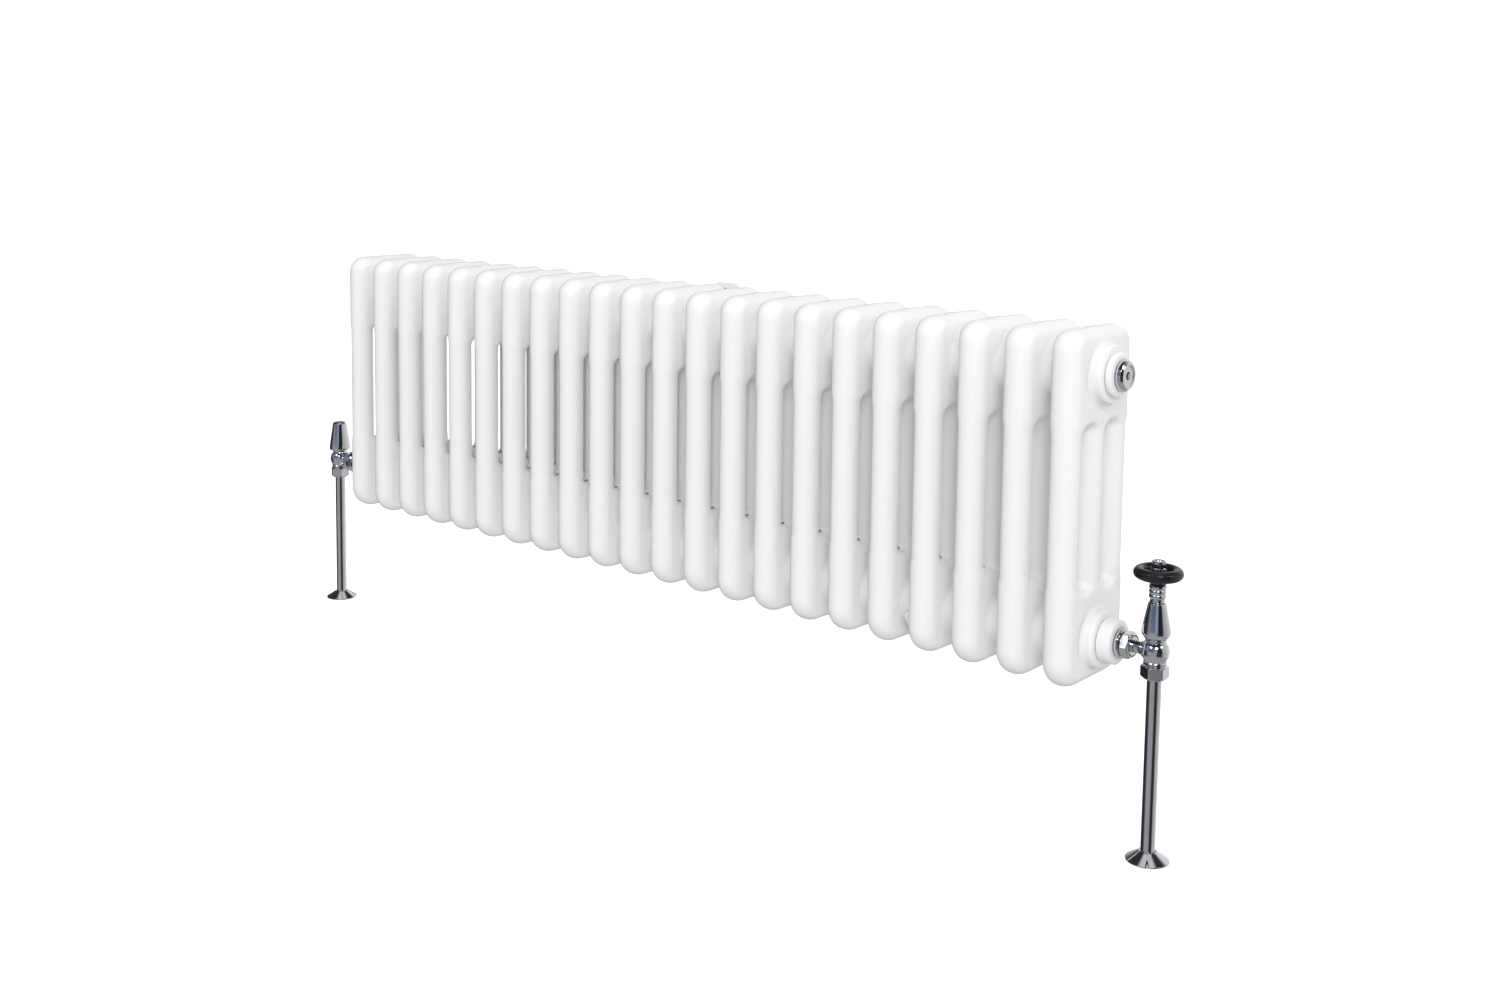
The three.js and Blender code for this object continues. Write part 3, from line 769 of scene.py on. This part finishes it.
def valve_body(neck_top):
    """Ball with an inlet below, a neck above and an arm towards -x, flared where it leaves the ball."""
    inlet = [
        (4.2, -11.6), (6.4, -11.6), (6.4, -19.0), (8.0, -19.0), (8.0, -10.2), (9.6, -10.2),
        (9.6, -8.6), (9.2, -7.9),
    ]
    neck = [
        (8.2, 8.6), (8.2, 9.3), (9.0, 9.7), (9.0, 11.1), (7.0, 11.1), (7.0, neck_top),
        (5.6, neck_top), (5.6, -4.0), (4.2, -4.0),
    ]
    lower_ring, upper_ring = 9.7, 8.5  # radii at which the ball starts and stops
    start = math.asin(lower_ring / BALL_RADIUS)
    stop = math.pi - math.asin(upper_ring / BALL_RADIUS)
    steps = 18
    ball = []
    for i in range(steps + 1):
        a = start + (stop - start) * i / steps
        ball.append((BALL_RADIUS * math.sin(a), -BALL_RADIUS * math.cos(a)))
    arm = [
        (4.2, 8.0), (4.2, 23.0), (8.0, 23.0), (8.0, 19.4), (5.3, 19.4), (5.3, 13.6),
        (5.5, 12.7), (6.2, 11.4), (7.2, 9.8), (8.4, 7.9),
    ]
    towards_tail = Matrix.Rotation(-math.pi / 2, 4, "Y")
    return joined(
        turned(inlet + ball + neck, 0.25, 80, closed=True),
        moved(flipped(turned(arm, closed=True)), towards_tail),
    )


def valve_tail():
    profile = [
        (4.4, -14.0), (9.8, -14.0), (9.8, 0.3), (12.4, 0.3), (12.4, 3.2), (11.4, 4.0), (6.6, 4.0),
        (6.6, 6.7), (8.1, 7.3), (8.1, 8.7), (4.4, 8.7),
    ]
    return lying(turned(profile, 0.5, 64, closed=True))


def union_nut():
    body = nut(21.0, 4.9, 11.4, 8.9)
    lip = turned([(7.1, UNION_START), (10.6, UNION_START), (10.6, 5.2), (7.1, 5.2)], 0.25, closed=True)
    shoulder = turned([(8.9, 11.2), (10.0, 11.2), (9.6, 12.7), (8.9, 12.7)], 0.3, closed=True)
    return lying(joined(body, lip, shoulder))


def extension():
    """Sleeve between the lower left bush and the lockshield's tail."""
    profile = [
        (4.4, -14.0), (9.8, -14.0), (9.8, 0.3), (13.2, 0.3), (13.2, 3.6), (11.6, 5.0),
        (11.6, EXTENSION - 4.6), (13.2, EXTENSION - 3.2), (13.2, EXTENSION), (10.8, EXTENSION),
        (10.8, 17.0), (4.4, 17.0),
    ]
    return lying(turned(profile, 0.6, 72, closed=True))


def pipe_nut():
    body = nut(20.4, -21.8, -11.6, 8.9)
    shoulder = turned([(8.6, -11.9), (9.9, -11.9), (9.5, NUT_TOP), (8.6, NUT_TOP)], 0.3, closed=True)
    skirt = turned([(6.6, -23.2), (8.2, -23.2), (9.7, -22.2), (9.7, -21.6), (6.6, -21.6)], 0.4, closed=True)
    return joined(body, shoulder, skirt)


def bonnet():
    """Turned cover that swells above its foot and then tapers to the collar."""
    profile = [
        (7.6, 11.4), (9.4, 11.4), (10.4, 12.6), (11.6, 14.4), (12.0, 16.2), (11.6, 19.2), (7.6, 39.3),
        (7.1, 40.7), (6.6, 41.3), (2.3, 41.3), (2.3, 24.6), (7.6, 24.6),
    ]
    return turned(profile, 0.9, 80, closed=True, steps=5)


def collar():
    """Plain neck under three beads."""
    bead_centre, bead_radius, pitch = 4.46, 2.64, 3.8
    profile = [(2.3, 41.6), (6.4, 41.6), (6.0, 42.4), (6.0, 44.5)]
    for i in range(3):
        middle = 46.6 + i * pitch
        for a in map(math.radians, range(-40, 41, 8)):
            profile.append((bead_centre + bead_radius * math.cos(a), middle + bead_radius * math.sin(a)))
    profile += [(5.9, 56.2), (2.3, 56.2)]
    return turned(profile, count=72, closed=True)


def pin():
    """Valve disc on a long pin."""
    profile = [(0.0, -1.0), (5.1, -1.0), (5.1, 1.6), (1.7, 1.6), (1.7, 54.2), (0.0, 54.2)]
    return turned(profile, 0.3, 40)


def handwheel():
    """Round rim on a dished web with a boss."""
    rim_radius, rim_half, rim_height = 15.5, 4.8, 65.6
    rim = [
        (rim_radius - rim_half * math.cos(a), rim_height - rim_half * math.sin(a)) for a in angles_round(32)
    ]
    web = [
        (0.0, 56.5), (6.6, 56.5), (7.2, 57.2), (9.4, 59.2), (12.4, 60.9), (14.0, 62.0), (14.0, 66.4),
        (11.8, 66.7), (8.6, 66.5), (6.9, 67.2), (6.4, 68.6), (2.7, 68.6), (2.7, 60.6), (0.0, 60.6),
    ]
    return joined(turned(rim, count=96, closed=True), turned(web, 0.8, 72))


def handwheel_nut():
    """Round nut with a notched edge, on a washer."""
    def crown(radius, height):
        """A ring with twelve notches."""
        ring = []
        for i, a in enumerate(angles_round(72)):
            reach = radius if i % 6 < 4 else radius - 0.8
            ring.append((reach * math.cos(a), reach * math.sin(a), height))
        return ring

    body = loft([
        [(0.0, 0.0, 69.6)],
        crown(5.3, 69.6),
        crown(5.7, 70.2),
        crown(5.8, 75.2),
        crown(5.3, 75.8),
        crown(4.4, 75.8),
        crown(4.2, 75.0),
        [(0.0, 0.0, 75.0)],
    ])
    washer = turned([(0.0, 68.9), (5.8, 68.9), (5.8, 69.7), (0.0, 69.7)], 0.25, 48)
    stud = turned([(0.0, 62.9), (2.2, 62.9), (2.2, 69.0), (0.0, 69.0)], 0.2, 32)
    return joined(body, washer, stud)


def pipe(bottom):
    return turned([(5.0, bottom), (6.0, bottom), (6.0, -12.0), (5.0, -12.0)], 0.2, closed=True)


def rose(bottom):
    """Cover rose: a thin cone with a rolled edge, hollow underneath."""
    profile = [
        (18.2, 0.0), (18.2, 0.9), (17.2, 1.5), (14.6, 3.1), (11.4, 5.2), (8.6, 7.2), (7.4, 8.0),
        (6.5, 8.0), (6.5, 6.6), (10.4, 4.2), (16.4, 0.6), (16.8, 0.0),
    ]
    return turned([(r, bottom + z) for r, z in profile], 0.4, 96, closed=True)


def gland():
    hexagon = nut(13.0, 16.3, 20.5, 2.45, corner=0.4)
    shank = turned([(2.45, 10.0), (5.2, 10.0), (5.2, 16.5), (2.45, 16.5)], 0.2, 40, closed=True)
    return joined(hexagon, shank)


def spindle():
    """Stem with a round head, slotted for a screwdriver."""
    profile = [(0.0, -3.3), (2.0, -3.3), (2.0, 21.0), (5.6, 21.0), (5.6, 33.5), (0.0, 33.5)]
    blade = moved(box_shape(14.0, 1.8, 6.0), Matrix.Translation((0, 0, 33.5)))
    mesh = cut_with(mesh_of("spindle_mesh", turned(profile, 0.5, 40)), blade)
    finish_surface(mesh)
    return mesh


def lock_disc():
    return turned([(2.5, -1.0), (5.0, -1.0), (5.0, 1.6), (2.5, 1.6)], 0.2, 40, closed=True)


def shield():
    """Turned cap that tapers to a flat top, hollow inside."""
    profile = [
        (0.0, 42.0), (6.3, 42.0), (10.2, 19.4), (10.5, 11.4), (11.4, 11.4), (12.3, 11.8), (12.6, 13.0),
        (12.6, 14.2), (12.2, 17.6), (11.2, 25.0), (9.9, 33.6), (8.6, 42.6), (8.2, 44.6), (7.2, 45.7),
        (6.0, 46.0), (0.0, 46.0),
    ]
    return turned(profile, 1.2, 80)


def build_wheel_head(centre):
    solid_piece("wheel_valve_bonnet", bonnet(), centre)
    solid_piece("wheel_valve_collar", collar(), centre)
    solid_piece("wheel_valve_pin", pin(), centre)
    solid_piece("handwheel", handwheel(), centre)
    solid_piece("handwheel_nut", handwheel_nut(), centre)


def build_lockshield_head(centre):
    solid_piece("lockshield_gland", gland(), centre)
    piece("lockshield_spindle", spindle(), centre)
    solid_piece("lockshield_disc", lock_disc(), centre)
    solid_piece("lockshield_cap", shield(), centre)


def build_valves():
    for side, prefix, turn in (("right", "wheel_valve_", 0.0), ("left", "lockshield_", math.pi)):
        pipe_node = "pipe_" + side
        axis = centre_of(pipe_node)
        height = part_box(prefix + "pipe_nut")[1].z - NUT_TOP * MM
        centre = (axis.x, axis.y, height)
        bottom = (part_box(pipe_node)[0].z - height) / MM
        union_low, union_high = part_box(prefix + "union_nut")
        face = union_low.x - UNION_START * MM if side == "right" else union_high.x + UNION_START * MM
        tail_at = (face, axis.y, height)
        solid_piece(prefix + "body", valve_body(NECK_TOPS[side]), centre, turn)
        solid_piece(prefix + "tail", valve_tail(), tail_at, turn)
        solid_piece(prefix + "union_nut", union_nut(), tail_at, turn)
        solid_piece(prefix + "pipe_nut", pipe_nut(), centre, turn)
        solid_piece(pipe_node, pipe(bottom), centre)
        solid_piece("pipe_rose_" + side, rose(bottom), centre)
        if side == "right":
            build_wheel_head(centre)
        else:
            solid_piece("tail_extension", extension(), (face + EXTENSION * MM, axis.y, height), turn)
            build_lockshield_head(centre)


# ---------------------------------------------------------------- wall fixings

def swept(outline, width):
    """A slab along x of a side-view outline (y, z)."""
    half = width / 2
    count = len(outline)
    near, far = list(range(count)), list(range(count, 2 * count))
    verts = [(-half, y, z) for y, z in outline] + [(half, y, z) for y, z in outline]
    return verts, [near[::-1], far] + ring_faces(near, far)


def soften(obj, width):
    """Rounds the object's edges, before any other modifier."""
    modifier = obj.modifiers.new("soft_edges", "BEVEL")
    modifier.width = width * MM
    modifier.segments = 3
    modifier.limit_method = "ANGLE"
    modifier.angle_limit = math.radians(40)
    modifier.harden_normals = True
    obj.modifiers.move(len(obj.modifiers) - 1, 0)


def arc_points(middle_x, middle_z, radius, start, sweep, steps):
    """Points on part of a circle in a side view. Its angles are in degrees."""
    angles = [math.radians(start + sweep * i / steps) for i in range(steps + 1)]
    return [Vector((middle_x + radius * math.cos(a), middle_z + radius * math.sin(a))) for a in angles]


def bracket_plate():
    """Rounded plate on the wall with two screw holes."""
    side = PLATE_HALF_WIDTH - PLATE_CORNER
    upper, lower = PLATE_TOP - PLATE_CORNER, PLATE_BOTTOM + PLATE_CORNER
    rim = []
    for i, (x, z) in enumerate(((side, upper), (-side, upper), (-side, lower), (side, lower))):
        rim += arc_points(x, z, PLATE_CORNER, 90 * i, 90, 5)
    hole = circle(HOLE_RADIUS, 0.0, 24)
    holes = [[Vector((x, height + z)) for x, z, _ in hole] for height in HOLE_HEIGHTS]
    points = rim + holes[0] + holes[1]
    _, _, triangles, original, _, _ = delaunay_2d_cdt(points, [], [], 0, 1e-5)
    kept = []
    for triangle in triangles:
        face = [original[i][0] for i in triangle]
        centre = sum((points[i] for i in face), Vector((0, 0))) / 3
        if min((centre - Vector((0, height))).length for height in HOLE_HEIGHTS) > HOLE_RADIUS - 0.1:
            kept.append(face)
    count = len(points)
    verts = [(p.x, -PLATE_THICKNESS, p.y) for p in points] + [(p.x, 0.0, p.y) for p in points]
    faces = kept + [[count + i for i in face[::-1]] for face in kept]
    start = 0
    for edge, turn in ((rim, -1), (holes[0], 1), (holes[1], 1)):
        front = list(range(start, start + len(edge)))
        faces += [face[::turn] for face in ring_faces(front, [count + i for i in front])]
        start += len(edge)
    return verts, faces


def bracket_arm(middle):
    """Flat arm whose cradle goes under a hub. middle is the hub's place along y, with the wall at 0."""
    inner, outer = 25.8, 31.8  # radii of the cradle
    lip = 20.0  # degrees by which the cradle's ends are below level
    meeting = math.degrees(1.1)  # below level, where the cradle's outside meets the arm
    root = 0.4 - PLATE_THICKNESS  # a little inside the plate
    outline = [Vector((root, -8.0))]
    outline += arc_points(middle, 0.0, inner, -lip, 2 * lip - 180, 36)
    outline += arc_points(middle, 0.0, outer, lip - 180, 180 - lip - meeting, 36)
    outline.append(Vector((root, -31.0)))
    return swept(outline, 8.0)


def screw():
    """Pan-head screw with a cross recess."""
    profile = [
        (0.0, 0.2), (2.4, 0.2), (2.5, 4.3), (5.0, 4.3), (4.9, 5.0), (4.2, 6.3), (3.0, 7.0), (0.0, 7.0),
    ]
    mesh = mesh_of("screw_mesh", turned(profile, 0.3, 40))
    for turn in (0.0, math.pi / 2):
        across = Matrix.Rotation(turn, 4, "Z") @ Matrix.Translation((0, 0, 6.8))
        mesh = cut_with(mesh, moved(box_shape(5.0, 0.9, 1.6), across))
    into_wall = Matrix.Rotation(math.pi / 2, 4, "X")
    mesh.transform(into_wall)
    finish_surface(mesh)
    return mesh


def build_brackets():
    screw_mesh = screw()
    hub_y = centre_of("section_01").y
    for where in ("upper_centre", "lower_left", "lower_right"):
        node = "bracket_" + where
        origin = (centre_of(node).x, 0.0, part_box(node)[1].z - PLATE_TOP * MM)
        soften(solid_piece(node, joined(bracket_plate(), bracket_arm(hub_y / MM)), origin), 0.6)
        for end in ("top", "bottom"):
            name = "screw_%s_%s" % (end, where)
            middle = centre_of(name)
            piece(name, screw_mesh, (middle.x, 0.0, middle.z))


# ---------------------------------------------------------------- camera, light and floor

def world_blend(nodes, links, value, low, high, first, second):
    """Colour that runs from the first to the second as the value goes from low to high."""
    step = nodes.new("ShaderNodeMapRange")
    step.interpolation_type = "SMOOTHSTEP"
    step.inputs["From Min"].default_value = low
    step.inputs["From Max"].default_value = high
    links.new(value, step.inputs["Value"])
    mix = nodes.new("ShaderNodeMix")
    mix.data_type = "RGBA"
    links.new(step.outputs["Result"], mix.inputs["Factor"])
    # A mix node has sockets of these names for numbers and vectors too, so colours go by position
    for socket, colour in ((mix.inputs[6], first), (mix.inputs[7], second)):
        if isinstance(colour, tuple):
            socket.default_value = (*colour, 1)
        else:
            links.new(colour, socket)
    return mix.outputs[2]


def studio_walls(nodes, links, split):
    """What polished metal mirrors at each side: a dim blue wall, a dark gap and a pale wall."""
    angle = nodes.new("ShaderNodeMath")
    angle.operation = "ARCTAN2"
    links.new(split.outputs["Y"], angle.inputs[0])
    links.new(split.outputs["X"], angle.inputs[1])
    share = nodes.new("ShaderNodeMapRange")
    share.inputs["From Min"].default_value = -math.pi
    share.inputs["From Max"].default_value = math.pi
    links.new(angle.outputs["Value"], share.inputs["Value"])

    def wall(stops):
        """Colours once round: 0 and 1 are the left, 0.25 the front, 0.5 the right and 0.75 behind."""
        ramp_node = nodes.new("ShaderNodeValToRGB")
        elements = ramp_node.color_ramp.elements
        for i, (at, colour) in enumerate(stops):
            element = elements[i] if i < 2 else elements.new(at)
            element.position = at
            element.color = (*colour, 1)
        links.new(share.outputs["Result"], ramp_node.inputs["Fac"])
        return ramp_node.outputs["Color"]

    upper = wall([
        (0.00, (0.05, 0.05, 0.06)), (0.06, (0.08, 0.09, 0.11)), (0.10, (0.24, 0.30, 0.39)),
        (0.20, (0.10, 0.14, 0.21)), (0.28, (0.13, 0.18, 0.27)), (0.34, (0.34, 0.41, 0.52)),
        (0.375, (0.02, 0.02, 0.03)), (0.47, (0.02, 0.02, 0.02)), (0.50, (0.46, 0.46, 0.46)),
        (0.66, (0.66, 0.66, 0.65)), (0.80, (0.95, 0.95, 0.95)), (0.92, (0.05, 0.05, 0.06)),
    ])
    lower = wall([
        (0.00, (0.02, 0.02, 0.02)), (0.10, (0.04, 0.04, 0.05)), (0.18, (0.36, 0.36, 0.38)),
        (0.33, (0.32, 0.32, 0.34)), (0.37, (0.04, 0.04, 0.04)), (0.46, (0.02, 0.02, 0.02)),
        (0.50, (0.38, 0.38, 0.38)), (0.62, (0.60, 0.60, 0.60)), (0.80, (0.95, 0.95, 0.95)),
        (0.92, (0.04, 0.04, 0.05)),
    ])
    height = split.outputs["Z"]  # from -1, straight down, to 1, straight up
    sides = world_blend(nodes, links, height, -0.02, 0.1, lower, upper)
    floor_up = world_blend(nodes, links, height, -0.65, -0.42, (0.36, 0.36, 0.35), sides)
    dark_top = world_blend(nodes, links, height, 0.5, 0.75, floor_up, (0.03, 0.03, 0.04))
    return world_blend(nodes, links, height, 0.9, 0.97, dark_top, (0.62, 0.62, 0.61))


def build_world():
    """White to the camera, a pale sky to matt surfaces and the studio's walls to mirrored rays."""
    world = bpy.data.worlds.new("studio")
    bpy.context.scene.world = world
    world.use_nodes = True
    nodes, links = world.node_tree.nodes, world.node_tree.links
    place = nodes.new("ShaderNodeTexCoord")
    split = nodes.new("ShaderNodeSeparateXYZ")
    links.new(place.outputs["Generated"], split.inputs["Vector"])
    path = nodes.new("ShaderNodeLightPath")

    sky = world_blend(nodes, links, split.outputs["Z"], 0.1, 0.95, (0.62, 0.62, 0.62), (0.84, 0.84, 0.84))
    seen = nodes["Background"]
    seen.inputs["Color"].default_value = (1.0, 1.0, 1.0, 1)
    seen.inputs["Strength"].default_value = 1.05
    shed = nodes.new("ShaderNodeBackground")
    links.new(sky, shed.inputs["Color"])
    mirrored = nodes.new("ShaderNodeBackground")
    links.new(studio_walls(nodes, links, split), mirrored.inputs["Color"])

    glossy = nodes.new("ShaderNodeMixShader")
    links.new(path.outputs["Is Glossy Ray"], glossy.inputs["Fac"])
    links.new(shed.outputs["Background"], glossy.inputs[1])
    links.new(mirrored.outputs["Background"], glossy.inputs[2])
    camera = nodes.new("ShaderNodeMixShader")
    links.new(path.outputs["Is Camera Ray"], camera.inputs["Fac"])
    links.new(glossy.outputs["Shader"], camera.inputs[1])
    links.new(seen.outputs["Background"], camera.inputs[2])
    links.new(camera.outputs["Shader"], nodes["World Output"].inputs["Surface"])


def build_floor():
    floor_z = cad_box[0][2]
    half = 14.0  # in metres
    mesh = bpy.data.meshes.new("floor_mesh")
    corners = ((-half, -half), (half, -half), (half, half), (-half, half))
    mesh.from_pydata([(x, y, floor_z) for x, y in corners], [], [[0, 1, 2, 3]])
    mesh.materials.append(floor_material())
    floor = bpy.data.objects.new("floor", mesh)
    bpy.context.scene.collection.objects.link(floor)
    floor.visible_glossy = False
    floor.visible_diffuse = False


def build_lights():
    """Three soft windows, to the left, in front and to the right, and a fill that metal doesn't mirror."""
    aim = Vector((0.35, -0.08, -0.1))
    distance = 5.0
    # Degrees round from +x and up from level, and watts
    lights = (
        ("left", -108, 37, 20),
        ("front", -52, 37, 34),
        ("right", 4, 37, 14),
        ("fill", -50, 17, 72),
    )
    for name, side, height, watts in lights:
        light = bpy.data.lights.new(name, "AREA")
        light.shape = "RECTANGLE"
        light.size, light.size_y = 1.7, 1.0
        light.energy = watts
        obj = bpy.data.objects.new(name, light)
        obj.visible_glossy = name != "fill"
        bpy.context.scene.collection.objects.link(obj)
        turn, lift = math.radians(side), math.radians(height)
        towards = Vector((math.cos(turn) * math.cos(lift), math.sin(turn) * math.cos(lift), math.sin(lift)))
        obj.location = aim + towards * distance
        obj.rotation_euler = (-towards).to_track_quat("-Z", "Y").to_euler()


def build_camera():
    """The photo's view: place in metres, angles in radians."""
    place = Vector((1.12372, -1.29084, 0.20245))
    yaw, pitch, roll = -0.7030, 0.1024, 0.0131
    forward = Vector((math.sin(yaw) * math.cos(pitch), math.cos(yaw) * math.cos(pitch), -math.sin(pitch)))
    level = Vector((math.cos(yaw), -math.sin(yaw), 0.0))
    upright = level.cross(forward)
    right = math.cos(roll) * level + math.sin(roll) * upright
    up = -math.sin(roll) * level + math.cos(roll) * upright
    camera = bpy.data.cameras.new("camera")
    camera.sensor_width = 36.0
    camera.lens = 39.15
    camera.shift_y = -0.14
    camera.clip_start = 0.01
    obj = bpy.data.objects.new("camera", camera)
    bpy.context.scene.collection.objects.link(obj)
    turn = Matrix((right, up, -forward)).transposed().to_4x4()
    obj.matrix_world = Matrix.Translation(place) @ turn
    bpy.context.scene.camera = obj


build_camera()
build_world()
build_floor()
build_lights()
bpy.context.scene.view_settings.view_transform = "Standard"
build_sections()
build_end_fittings()
build_valves()
build_brackets()
